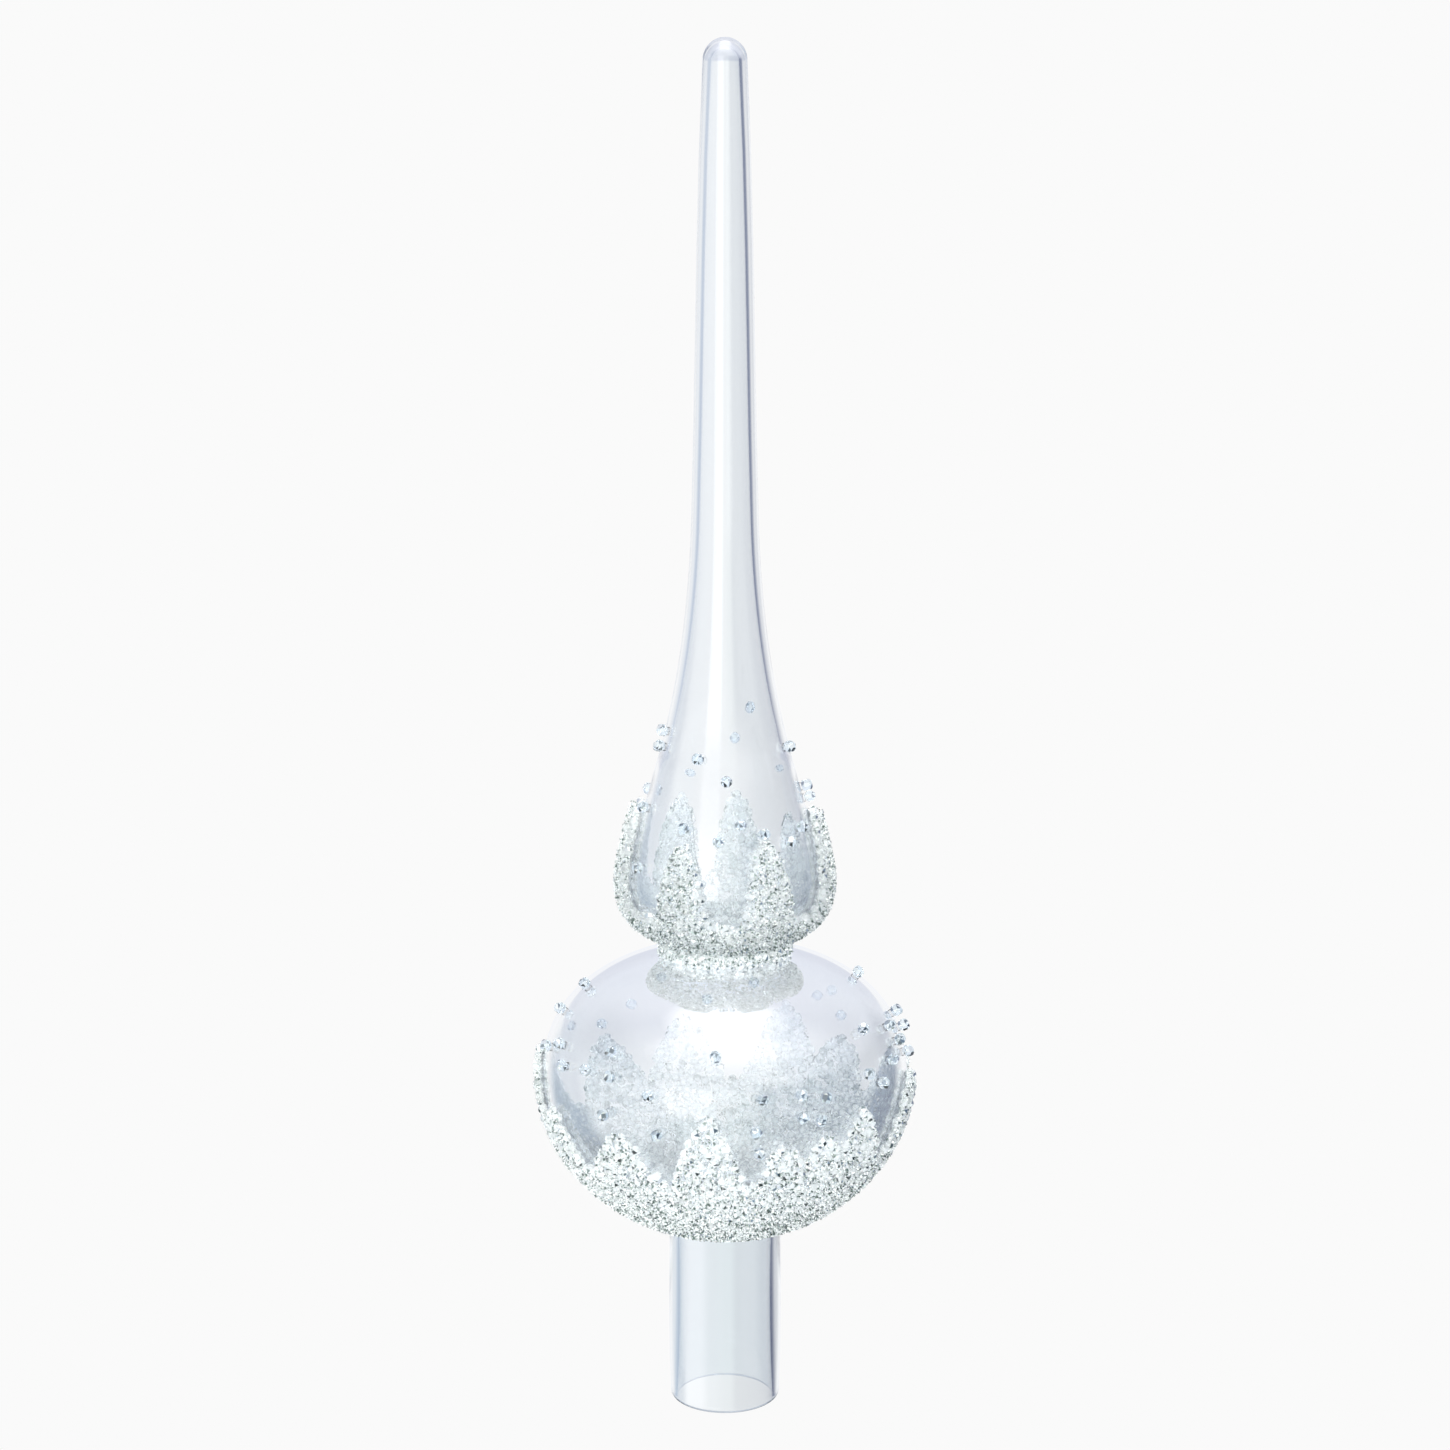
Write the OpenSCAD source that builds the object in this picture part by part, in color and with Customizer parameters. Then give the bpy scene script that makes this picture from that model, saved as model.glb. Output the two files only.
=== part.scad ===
// Clear glass tree topper with an icicle spire, a drop-shaped bulb, a flattened globe
// and an open tube that slips over the top shoot of a tree. The lower halves of the bulb
// and the globe carry a crust of glass crystals with flame-shaped lobes.
// Origin: on the axis, at the lowest edge of the tube's rim. +Z points up the spire.

/* [Spire] */
// Height from the tube's rim to the spire's tip
total_h = 269; // [262:1:280]
// Outer radius of the spire's round tip
tip_r = 4.2; // [3.6:0.1:4.8]
// Outer radius at the waist, where the straight spire starts to flare
waist_r = 6.45; // [5.6:0.05:7.2]
// Height of the waist
waist_z = 180; // [172:1:188]
// Outer radius half way down the flare
flare_r = 12.6; // [11.6:0.1:13.6]
// Height of that point
flare_z = 134; // [130:1:138]
// Widening of the flare there, in radius over height
flare_slope = 0.27; // [0.2:0.01:0.34]
// Wall of the spire
spire_wall = 1.5; // [1:0.1:1.8]
// Thickness of the glass at the tip
tip_wall = 1.8; // [1.2:0.1:2.4]

/* [Bulb] */
// Outer radius of the bulb at its widest
bulb_r = 18.8; // [17.5:0.1:20]
// Height of the widest point
bulb_z = 107.5; // [106:0.5:109]
// Wall of the bulb
bulb_wall = 1.2; // [0.8:0.1:1.6]
// Outer radius of the neck
neck_r = 9.6; // [8.8:0.1:10.4]
// Height where the neck starts to open into the bulb
neck_top = 95; // [94.4:0.1:95.6]

/* [Globe] */
// Outer radius of the globe
globe_r = 36.2; // [34:0.1:38]
// Height of the globe's widest point
globe_z = 68.4; // [67.4:0.1:69]
// Height of the globe above its widest point
globe_up = 25.2; // [24.6:0.1:25.6]
// Depth of the globe below its widest point
globe_down = 30; // [27:0.5:31]
// Fullness of the globe's shoulder, where 2 is an ellipse
shoulder = 2.25; // [2:0.05:2.5]
// Wall of the globe
globe_wall = 1.2; // [0.8:0.1:1.6]

/* [Tube] */
// Outer radius of the tube
tube_r = 11; // [10:0.1:12]
// Wall of the tube
tube_wall = 1.5; // [1:0.1:2]

/* [Crystals] */
// Thickness of the adhesive film under the crust
film = 0.5; // [0.3:0.05:0.8]
// Height of the crust above the glass, on the bulb and the neck
bulb_crust_t = 3.3; // [2.6:0.1:3.6]
// Height of the crust above the glass at the globe's widest point
globe_crust_t = 1.9; // [1.5:0.1:2.6]
// Height of the crust above the glass at the globe's underside
globe_crust_under = 3.3; // [2.4:0.1:3.6]
// Width of a single cut crystal across its flats
crystal_w = 2.1; // [1.6:0.1:2.6]

/* [Hidden] */
$fn = 128;

// Steps along each curve of an outline
curve_steps = 12;
// Steps round the spire's tip and along each half of the globe's outline
arc_steps = 9;
globe_steps = 14;
// Steps down each edge of a lobe
flame_steps = 6;
// How blunt the lobes on the bulb and on the globe are, where 1 is a plain wedge
bulb_bluntness = 0.45;
globe_bluntness = 0.6;
// Depth to which each lobe runs down into the closed band
lobe_root = 2.3;

// The bulb's underside pulls in below its widest point over this height
under_pull = 9.2;
// The flank stays upright for this height above the widest point
flank_hold = 5;
// Height over which the neck's curve stays upright
neck_hold = 2;
// Distance that the adhesive stops short of the crust's edge
glue_margin = 0.4;
// Thickness of the dot of adhesive under a single crystal, and how wide it is
dot_t = 0.25;
dot_r = 0.8;
// Angle between successive turns of the crystals, so that no two look alike
turn_step = 137.5;

// Bulb lobes: azimuth from the front in degrees, tip height, width at the foot
bulb_lobes = [[-26, 118.5, 10.7], [25.5, 119.5, 10.4], [93, 122, 17], [130, 119, 10],
              [172, 121, 11], [213, 121, 12], [-98, 123, 16]];
// Height at which the lobes of the bulb merge into a closed band
bulb_band_z = 103.5;

// Globe lobes: azimuth from the front in degrees, tip height, width at the foot
globe_lobes = [[-92, 73, 24], [-64, 66, 16], [-33, 66, 18], [-5, 71, 15], [18, 65, 13],
               [31, 66, 14], [45, 69, 16], [77, 71, 20], [106, 71, 20], [138, 68, 20],
               [159, 73, 18], [194, 70, 18], [224, 68, 20]];
// Height at which the lobes of the globe merge into a closed band
globe_band_z = 56;

// Single crystals on the bulb: azimuth from the front in degrees, height
bulb_stones = [[-22, 134], [1, 130], [10, 122], [25, 120], [-4, 119], [44, 118], [-27, 121],
               [57, 120], [-60, 112], [-71, 138], [-70, 135], [67, 135], [94, 126], [90, 124],
               [-71, 123], [152, 140], [171, 133], [208, 127], [246, 124], [128, 129]];
// Single crystals on the globe: azimuth from the front in degrees, height
globe_stones = [[-39, 80], [-47, 76], [-37, 76], [-23, 74], [-38, 69], [-3, 81], [-20, 67],
                [11, 74], [23, 74], [31, 73], [23, 70], [29, 69], [9, 68], [10, 64], [54, 82],
                [49, 75], [55, 72.5], [91, 87.5], [88, 80.5], [71, 80.5], [86, 78], [73, 77.5],
                [78, 74.5], [63, 75.5], [-81, 86.5], [-81, 82], [-75, 76], [-65, 78], [-59, 75],
                [213, 73.5], [225, 70.5], [138, 72], [140, 77.5], [147, 75.5], [186, 73],
                [170, 77], [203, 79], [243, 73]];

// A point on a cubic Bezier curve, at t from 0 to 1
function bezier(a, b, c, d, t) =
    a * pow(1 - t, 3) + 3 * b * t * pow(1 - t, 2) + 3 * c * t * t * (1 - t) + d * pow(t, 3);

// Points along the curve, without its end
function run(a, b, c, d, steps) = [for (i = [0 : steps - 1]) bezier(a, b, c, d, i / steps)];

function reversed(points) = [for (i = [len(points) - 1 : -1 : 0]) points[i]];

// The bulb's underside, from the neck up to its widest point, at a distance from the glass
function underside(gap) =
    run([neck_r + gap, neck_top],
        [neck_r + gap + 0.8 * max(gap, 0), neck_top + neck_hold],
        [bulb_r + gap, bulb_z - under_pull],
        [bulb_r + gap, bulb_z], curve_steps);

// The bulb's flank, from its widest point up to the middle of the flare
function flank(gap) =
    run([bulb_r + gap, bulb_z],
        [bulb_r + gap, bulb_z + flank_hold],
        [flare_r + gap + 9 * flare_slope, flare_z - 9],
        [flare_r + gap, flare_z], curve_steps);

// The upper half of the flare, up to the waist
function flare(gap) =
    run([flare_r + gap, flare_z],
        [flare_r + gap - 15 * flare_slope, flare_z + 15],
        [waist_r + gap + 15 * spire_slope, waist_z - 15],
        [waist_r + gap, waist_z], curve_steps);

// Narrowing of the straight spire, in radius over height
spire_slope = (waist_r - tip_r) / (total_h - tip_r - waist_z);

// A dome that closes the spire, from its rim to the axis
function dome(radius, top) =
    [for (i = [0 : arc_steps])
        [radius * cos(90 * i / arc_steps), top - radius + radius * sin(90 * i / arc_steps)]];

// The angle from the pole at which the globe's outline reaches a radius
function pole_angle(radius, widest, fullness) = asin(pow(radius / widest, fullness / 2));

// A point on the globe's outline: angle from the upper pole, widest radius, heights up and down
function globe_point(a, widest, up, down) =
    a < 90
        ? [widest * pow(sin(a), 2 / shoulder), globe_z + up * pow(cos(a), 2 / shoulder)]
        : [widest * sin(a), globe_z + down * cos(a)];

// The globe's outline between two angles
function globe_run(from, to, widest, up, down) =
    [for (i = [0 : 2 * globe_steps])
        globe_point(from + (to - from) * i / (2 * globe_steps), widest, up, down)];

// The globe's outline from the neck down to the tube, at a distance from the glass
function globe_outline(side_gap, under_gap) =
    globe_run(pole_angle(neck_r, globe_r + side_gap, shoulder),
              180 - pole_angle(tube_r, globe_r + side_gap, 2),
              globe_r + side_gap, globe_up + side_gap, globe_down + under_gap);

// Height of the globe's inner wall at the top hole and at the bottom hole
seal_top_z = globe_outline(-globe_wall, -globe_wall)[0][1];
seal_bottom_z = globe_outline(-globe_wall, -globe_wall)[2 * globe_steps][1];

// Height of the globe's surface at a radius from the axis, above its widest point
function shoulder_z(radius) =
    globe_z + globe_up * pow(1 - pow(radius / globe_r, shoulder), 1 / shoulder);

// Radius of the bulb and the flare at a height, along the flank and flare
function radius_at(points, z, i = 0) =
    i >= len(points) - 2 || points[i + 1][1] >= z
        ? points[i][0] + (points[i + 1][0] - points[i][0])
            * (z - points[i][1]) / (points[i + 1][1] - points[i][1])
        : radius_at(points, z, i + 1);

// Radius of the globe at a height
function globe_radius_at(z) =
    z > globe_z
        ? globe_r * pow(1 - pow((z - globe_z) / globe_up, shoulder), 1 / shoulder)
        : globe_r * sqrt(1 - pow((globe_z - z) / globe_down, 2));

// The closed spire, bulb and neck, hollow and open at the bottom of the neck
module spire_bulb() {
    outer = concat([[neck_r, seal_top_z]], underside(0), flank(0), flare(0),
                   [[waist_r, waist_z]], dome(tip_r, total_h));
    inner = concat([[neck_r - bulb_wall, seal_top_z]], underside(-bulb_wall),
                   flank(-bulb_wall), flare(-spire_wall), [[waist_r - spire_wall, waist_z]],
                   dome(tip_r - spire_wall, total_h - tip_wall));
    color("aliceblue", 0.35)
    rotate_extrude()
    polygon(concat(outer, reversed(inner)));
}

// The flattened hollow globe, with a hole for the neck and one for the tube
module globe() {
    color("aliceblue", 0.35)
    rotate_extrude()
    polygon(concat(globe_outline(0, 0), reversed(globe_outline(-globe_wall, -globe_wall))));
}

// The slip-on tube, with a fire-polished rim
module socket_tube() {
    color("azure", 0.35)
    rotate_extrude() {
        translate([tube_r - tube_wall, tube_wall / 2])
        square([tube_wall, seal_bottom_z - tube_wall / 2]);
        translate([tube_r - tube_wall / 2, tube_wall / 2])
        circle(d = tube_wall);
    }
}

// The outline of a flame: a blunt tip that widens down to the foot
module flame(width, height, bluntness) {
    half = [for (i = [1 : flame_steps])
               [width / 2 * pow(i / flame_steps, bluntness), -height * i / flame_steps]];
    polygon(concat([[0, 0]], half, reversed([for (p = half) [-p[0], p[1]]])));
}

// Prisms that stand out from the axis, one for each lobe, and a drum below them
module lobe_field(lobes, bluntness, band_z, low_z, reach, margin) {
    for (lobe = lobes)
        rotate(lobe[0] - 90)
        translate([0, 0, lobe[1] + margin])
        rotate([90, 0, 90])
        linear_extrude(reach)
        flame(lobe[2] + 2 * margin, lobe[1] - band_z + lobe_root, bluntness);
    translate([0, 0, low_z])
    cylinder(r = reach, h = band_z + margin - low_z);
}

// A layer on the bulb, between two distances from the glass
module bulb_layer(inner_gap, outer_gap, margin) {
    intersection() {
        rotate_extrude()
        polygon(concat(underside(outer_gap), flank(outer_gap),
                       reversed(concat(underside(inner_gap), flank(inner_gap)))));
        lobe_field(bulb_lobes, bulb_bluntness, bulb_band_z, neck_top - 1, 2 * bulb_r, margin);
    }
}

// A layer on the globe, between two distances from the glass
module globe_layer(inner_gap, side_gap, under_gap, margin) {
    outer = globe_outline(side_gap, under_gap);
    inner = globe_outline(inner_gap, inner_gap);
    intersection() {
        rotate_extrude()
        polygon(concat(outer, reversed(inner)));
        lobe_field(globe_lobes, globe_bluntness, globe_band_z, 0, 2 * globe_r, margin);
    }
}

module bulb_glue() {
    color("ghostwhite", 0.4)
    bulb_layer(0, film, -glue_margin);
}

module bulb_crust() {
    color("white", 0.8)
    bulb_layer(film, bulb_crust_t, 0);
}

module globe_glue() {
    color("ghostwhite", 0.4)
    globe_layer(0, film, film, -glue_margin);
}

module globe_crust() {
    color("white", 0.8)
    globe_layer(film, globe_crust_t, globe_crust_under, 0);
}

// A ring round the neck, from the globe's shoulder up to the bulb
module neck_ring(inner_gap, outer_gap) {
    inner_r = neck_r + inner_gap;
    outer_r = neck_r + outer_gap;
    rotate_extrude()
    polygon([[inner_r, shoulder_z(inner_r)], [outer_r, shoulder_z(outer_r)],
             [outer_r, neck_top], [inner_r, neck_top]]);
}

module neck_glue() {
    color("ghostwhite", 0.4)
    neck_ring(0, film);
}

module neck_crust() {
    color("white", 0.8)
    neck_ring(film, bulb_crust_t);
}

// A cut crystal: three squared blocks turned into each other
module crystal() {
    intersection() {
        cube(crystal_w, center = true);
        rotate([45, 0, 0])
        cube(crystal_w, center = true);
        rotate([0, 45, 0])
        cube(crystal_w, center = true);
        rotate([0, 0, 45])
        cube(crystal_w, center = true);
    }
}

// Stands its child on the glass: azimuth from the front, height, radius, and how far the
// glass leans back from upright there
module on_glass(azimuth, z, radius, lean) {
    rotate(azimuth - 90)
    translate([radius, 0, z])
    rotate([0, 90 - lean, 0])
    children();
}

// How far the flank leans back from upright at a height
function bulb_lean(z) =
    let (wall = concat(flank(0), flare(0)))
    atan(radius_at(wall, z - 0.5) - radius_at(wall, z + 0.5));

// How far the globe's wall leans back from upright at a height
function globe_lean(z) = atan(globe_radius_at(z - 0.5) - globe_radius_at(z + 0.5));

module bulb_stone_places() {
    wall = concat(flank(0), flare(0));
    for (i = [0 : len(bulb_stones) - 1])
        let (stone = bulb_stones[i])
        on_glass(stone[0], stone[1], radius_at(wall, stone[1]), bulb_lean(stone[1]))
        rotate(i * turn_step)
        children();
}

module globe_stone_places() {
    for (i = [0 : len(globe_stones) - 1])
        let (stone = globe_stones[i])
        on_glass(stone[0], stone[1], globe_radius_at(stone[1]), globe_lean(stone[1]))
        rotate(i * turn_step)
        children();
}

module bulb_crystals() {
    color("lightcyan", 0.7)
    bulb_stone_places()
    translate([0, 0, dot_t + crystal_w / 2])
    crystal();
}

module globe_crystals() {
    color("lightcyan", 0.7)
    globe_stone_places()
    translate([0, 0, dot_t + crystal_w / 2])
    crystal();
}

module bulb_glue_dots() {
    color("ghostwhite", 0.4)
    bulb_stone_places()
    cylinder(r = dot_r, h = dot_t);
}

module globe_glue_dots() {
    color("ghostwhite", 0.4)
    globe_stone_places()
    cylinder(r = dot_r, h = dot_t);
}

spire_bulb();
globe();
socket_tube();
bulb_glue();
neck_glue();
globe_glue();
bulb_crust();
neck_crust();
globe_crust();
bulb_crystals();
globe_crystals();
bulb_glue_dots();
globe_glue_dots();
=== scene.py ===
"""Clear glass tree topper with an icicle spire: the looks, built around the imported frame."""

import math
import random

import bmesh
import bpy
import numpy as np
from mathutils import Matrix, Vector
from mathutils.bvhtree import BVHTree


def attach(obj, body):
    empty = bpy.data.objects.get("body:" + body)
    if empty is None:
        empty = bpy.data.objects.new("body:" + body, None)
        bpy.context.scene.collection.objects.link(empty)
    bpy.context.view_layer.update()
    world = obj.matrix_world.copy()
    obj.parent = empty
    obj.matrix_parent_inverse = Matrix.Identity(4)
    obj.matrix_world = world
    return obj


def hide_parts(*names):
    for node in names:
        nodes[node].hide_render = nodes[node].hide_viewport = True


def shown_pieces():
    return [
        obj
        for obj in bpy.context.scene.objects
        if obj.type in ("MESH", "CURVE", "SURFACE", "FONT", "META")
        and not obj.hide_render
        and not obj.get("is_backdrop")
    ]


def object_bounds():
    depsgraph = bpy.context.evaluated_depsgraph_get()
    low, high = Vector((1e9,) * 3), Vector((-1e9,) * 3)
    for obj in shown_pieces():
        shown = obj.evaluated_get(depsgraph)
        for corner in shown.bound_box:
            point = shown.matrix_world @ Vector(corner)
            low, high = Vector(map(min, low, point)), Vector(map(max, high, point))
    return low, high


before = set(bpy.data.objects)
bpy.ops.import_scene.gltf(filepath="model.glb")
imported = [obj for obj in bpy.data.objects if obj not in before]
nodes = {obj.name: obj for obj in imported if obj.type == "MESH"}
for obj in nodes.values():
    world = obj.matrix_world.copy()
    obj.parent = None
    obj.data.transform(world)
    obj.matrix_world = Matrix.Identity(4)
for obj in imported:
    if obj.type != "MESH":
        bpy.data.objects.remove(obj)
cad_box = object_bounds()
MM = 0.001
TINY = 1e-6


# ---------------------------------------------------------------- helpers for meshes

def cad_arrays(name):
    """The vertices (in mm) and the triangles of a CAD node."""
    mesh = nodes[name].data
    co = np.zeros(len(mesh.vertices) * 3, np.float32)
    mesh.vertices.foreach_get("co", co)
    mesh.calc_loop_triangles()
    tri = np.zeros(len(mesh.loop_triangles) * 3, np.int32)
    mesh.loop_triangles.foreach_get("vertices", tri)
    return co.reshape(-1, 3).astype(float) / MM, tri.reshape(-1, 3)


def new_piece(name, points, faces, material, stands_for=(), smooth=False):
    """A mesh object from points in mm, riding on the one body."""
    mesh = bpy.data.meshes.new(name)
    mesh.from_pydata((np.asarray(points) * MM).tolist(), [], [list(f) for f in faces])
    mesh.validate()
    mesh.update()
    if smooth:
        mesh.polygons.foreach_set("use_smooth", [True] * len(mesh.polygons))
    mesh.materials.append(material)
    piece = bpy.data.objects.new(name, mesh)
    bpy.context.scene.collection.objects.link(piece)
    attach(piece, "root")
    if stands_for:
        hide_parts(*stands_for)
    return piece


# ---------------------------------------------------------------- glass sections

def outline_of(name):
    """The CAD section's outline as an ordered list of (radius, height) in mm, and whether it
    is closed. It is the part of the mesh that lies in the half plane y = 0, x >= 0."""
    co, _ = cad_arrays(name)
    mesh = nodes[name].data
    flat = (np.abs(co[:, 1]) < 1e-4) & (co[:, 0] > -1e-4)
    keys = {}
    key_of = {}
    for i in np.flatnonzero(flat):
        key = (round(float(co[i, 0]), 3), round(float(co[i, 2]), 3))
        key_of[int(i)] = keys.setdefault(key, key)
    joined = {k: set() for k in keys}
    for edge in mesh.edges:
        a, b = edge.vertices
        if a in key_of and b in key_of and key_of[a] != key_of[b]:
            joined[key_of[a]].add(key_of[b])
            joined[key_of[b]].add(key_of[a])
    ends = [k for k in joined if len(joined[k]) == 1]
    start = max(ends, key=lambda k: k[1]) if ends else max(joined, key=lambda k: k[1])
    path = [start]
    while True:
        ways = [k for k in joined[path[-1]] if k not in path]
        if not ways:
            break
        path.append(min(ways, key=lambda k: (-k[0], k[1])))
    return np.array(path), not ends


def without_straight_points(points, closed, least=0.2):
    """Leaves out the points where the outline turns by less than some degrees."""
    kept = list(range(len(points)))
    at = 0
    while at < len(kept):
        n = len(kept)
        if closed or 0 < at < n - 1:
            a, b, c = (points[kept[(at + k) % n]] for k in (-1, 0, 1))
            u, v = b - a, c - b
            if abs(math.degrees(math.atan2(u[0] * v[1] - u[1] * v[0], u @ v))) < least:
                kept.pop(at)
                continue
        at += 1
    return points[kept]


def natural_spline(points, per_span):
    """A natural cubic spline through the points, with per_span points on each span."""
    n = len(points)
    if n < 3:
        steps = np.linspace(0, 1, per_span + 1)[:, None]
        return points[0] + (points[-1] - points[0]) * steps
    h = np.maximum(np.hypot(*np.diff(points, axis=0).T), 1e-6)
    a = np.zeros((n, n))
    b = np.zeros((n, 2))
    a[0, 0] = a[-1, -1] = 1
    slope = np.diff(points, axis=0) / h[:, None]
    for i in range(1, n - 1):
        a[i, i - 1], a[i, i], a[i, i + 1] = h[i - 1], 2 * (h[i - 1] + h[i]), h[i]
        b[i] = 6 * (slope[i] - slope[i - 1])
    m = np.linalg.solve(a, b)
    out = []
    for i in range(n - 1):
        for k in range(per_span):
            t = h[i] * k / per_span
            s = h[i] - t
            out.append(
                (m[i] * s**3 + m[i + 1] * t**3) / (6 * h[i])
                + (points[i] / h[i] - m[i] * h[i] / 6) * s
                + (points[i + 1] / h[i] - m[i + 1] * h[i] / 6) * t
            )
    out.append(points[-1])
    return np.array(out)


def smooth_outline(points, closed, per_span=5, corner=32):
    """The outline refined by splines between its sharp corners, which turn by more than
    some degrees."""
    n = len(points)
    corners = []
    for i in range(n):
        if not closed and i in (0, n - 1):
            corners.append(i)
            continue
        u = points[i] - points[i - 1]
        v = points[(i + 1) % n] - points[i]
        turn = abs(math.degrees(math.atan2(u[0] * v[1] - u[1] * v[0], u @ v)))
        if turn > corner:
            corners.append(i)
    if closed:
        if not corners:
            corners = [0]
        corners.append(corners[0] + n)
    out = []
    for a, b in zip(corners, corners[1:]):
        run = points[[i % n for i in range(a, b + 1)]]
        out.extend(natural_spline(run, per_span)[:-1])
    if not closed:
        out.append(points[-1])
    return np.array(out)


def lathe(outline, closed, segments=192):
    """Points and faces of the outline turned about the axis."""
    turns = [2 * math.pi * k / segments for k in range(segments)]
    points = []
    rings = []
    for r, z in outline:
        if r < 1e-4:
            rings.append([len(points)])
            points.append((0, 0, z))
        else:
            rings.append(list(range(len(points), len(points) + segments)))
            points.extend((r * math.cos(t), r * math.sin(t), z) for t in turns)
    faces = []
    pairs = list(zip(rings, rings[1:] + ([rings[0]] if closed else [])))
    for a, b in pairs:
        if len(a) == 1 and len(b) == 1:
            continue
        for k in range(segments):
            j = (k + 1) % segments
            if len(a) == 1:
                faces.append((a[0], b[k], b[j]))
            elif len(b) == 1:
                faces.append((a[k], b[0], a[j]))
            else:
                faces.append((a[k], b[k], b[j], a[j]))
    return points, faces


SHARP_EDGE = math.radians(40)


def glass_section(name, node, outside, inside):
    """A smooth blown-glass section with the CAD section's outline. The faces that look
    away from the axis take the outside material, the others the inside one."""
    outline, closed = outline_of(node)
    outline = without_straight_points(outline, closed)
    fine = smooth_outline(outline, closed)
    points, faces = lathe(fine, closed)
    piece = new_piece(name, points, faces, outside, (node,), True)
    bm = bmesh.new()
    bm.from_mesh(piece.data)
    bmesh.ops.recalc_face_normals(bm, faces=bm.faces)
    for edge in bm.edges:
        if len(edge.link_faces) == 2 and edge.calc_face_angle() > SHARP_EDGE:
            edge.smooth = False
    for face in bm.faces:
        at = face.calc_center_median()
        face.material_index = 0 if face.normal.x * at.x + face.normal.y * at.y >= 0 else 1
    piece.data.materials.append(inside)
    bm.to_mesh(piece.data)
    bm.free()
    return piece


# ---------------------------------------------------------------- crystals

# A crystal of unit width: the bead's rings as (radius, height), how far its corners stray,
# and the chip's corners and the half widths of its wide and its flat side.
BEAD_RINGS = ((0.24, 0.46), (0.47, 0.16), (0.47, -0.14), (0.22, -0.46))
BEAD_STRAY = 0.05
CHIP_CORNERS = 6
CHIP_WIDE = 0.5
CHIP_FLAT = 0.38

# The face attribute that marks the facets which look out of the crust, and how far such a
# facet's normal leans outward.
FACES_OUT = "faces_out"
OPEN_LEAN = 0.1

# The film of adhesive under a crust, in mm, how far its thickness may differ, how far the
# normal of the shell's inner face leans to the glass, and a step off that face.
FILM = 0.5
FILM_SLACK = 0.4
INWARD_LEAN = -0.6
SKIN = 0.05


def convex_mesh(points):
    """Vertices and triangles of the convex hull of some points."""
    bm = bmesh.new()
    for p in points:
        bm.verts.new(p)
    bmesh.ops.convex_hull(bm, input=bm.verts)
    loose = [v for v in bm.verts if not v.link_faces]
    bmesh.ops.delete(bm, geom=loose, context="VERTS")
    bmesh.ops.triangulate(bm, faces=bm.faces)
    bmesh.ops.recalc_face_normals(bm, faces=bm.faces)
    bm.verts.index_update()
    verts = np.array([v.co[:] for v in bm.verts])
    faces = np.array([[v.index for v in f.verts] for f in bm.faces])
    bm.free()
    return verts, faces


def cut_bead(rng, sides):
    """A small faceted bead of about unit width, slightly uneven: BEAD_RINGS holds the radius
    and the height of its table, of the girdle's two edges and of its foot."""
    points = []
    for ring, (radius, height) in enumerate(BEAD_RINGS):
        for k in range(sides):
            a = 2 * math.pi * (k + 0.5 * (ring % 2)) / sides
            points.append((
                radius * math.cos(a) + rng.uniform(-BEAD_STRAY, BEAD_STRAY),
                radius * math.sin(a) + rng.uniform(-BEAD_STRAY, BEAD_STRAY),
                height + rng.uniform(-BEAD_STRAY, BEAD_STRAY),
            ))
    return convex_mesh(points)


def chip(rng):
    """A sliver of crushed glass of about unit width."""
    points = []
    for _ in range(CHIP_CORNERS):
        v = Vector((rng.gauss(0, 1), rng.gauss(0, 1), rng.gauss(0, 1))).normalized()
        points.append((v.x * CHIP_WIDE, v.y * CHIP_WIDE, v.z * CHIP_FLAT))
    return convex_mesh(points)


def random_turns(rng, count):
    """Random rotation matrices, as an array of count 3 by 3 matrices."""
    q = rng.normal(size=(count, 4))
    q /= np.linalg.norm(q, axis=1)[:, None]
    w, x, y, z = q.T
    return np.stack([
        1 - 2 * (y * y + z * z), 2 * (x * y - z * w), 2 * (x * z + y * w),
        2 * (x * y + z * w), 1 - 2 * (x * x + z * z), 2 * (y * z - x * w),
        2 * (x * z - y * w), 2 * (y * z + x * w), 1 - 2 * (x * x + y * y),
    ], axis=1).reshape(-1, 3, 3)


def scatter(centres, widths, kinds, shapes, outward, rng):
    """One mesh of many crystals: points in mm, triangles, and which of them face outward."""
    turns = random_turns(rng, len(centres))
    all_points = []
    all_faces = []
    all_open = []
    start = 0
    for kind, (verts, faces) in enumerate(shapes):
        mine = np.flatnonzero(kinds == kind)
        if not len(mine):
            continue
        points = np.einsum("nij,vj->nvi", turns[mine], verts) * widths[mine, None, None]
        points += centres[mine, None, :]
        corners = points[:, faces]
        normal = np.cross(corners[:, :, 1] - corners[:, :, 0],
                          corners[:, :, 2] - corners[:, :, 0])
        normal /= np.linalg.norm(normal, axis=2)[:, :, None] + 1e-12
        lean = np.einsum("nfj,nj->nf", normal, outward[mine])
        all_open.append((lean > OPEN_LEAN).ravel())
        offsets = start + len(verts) * np.arange(len(mine))
        all_points.append(points.reshape(-1, 3))
        all_faces.append((faces[None] + offsets[:, None, None]).reshape(-1, 3))
        start += len(verts) * len(mine)
    return np.concatenate(all_points), np.concatenate(all_faces), np.concatenate(all_open)


def bvh_of(points, faces):
    """A tree for finding the nearest place and the hits of rays on a mesh."""
    return BVHTree.FromPolygons([Vector(p) for p in points], [list(f) for f in faces])


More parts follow.
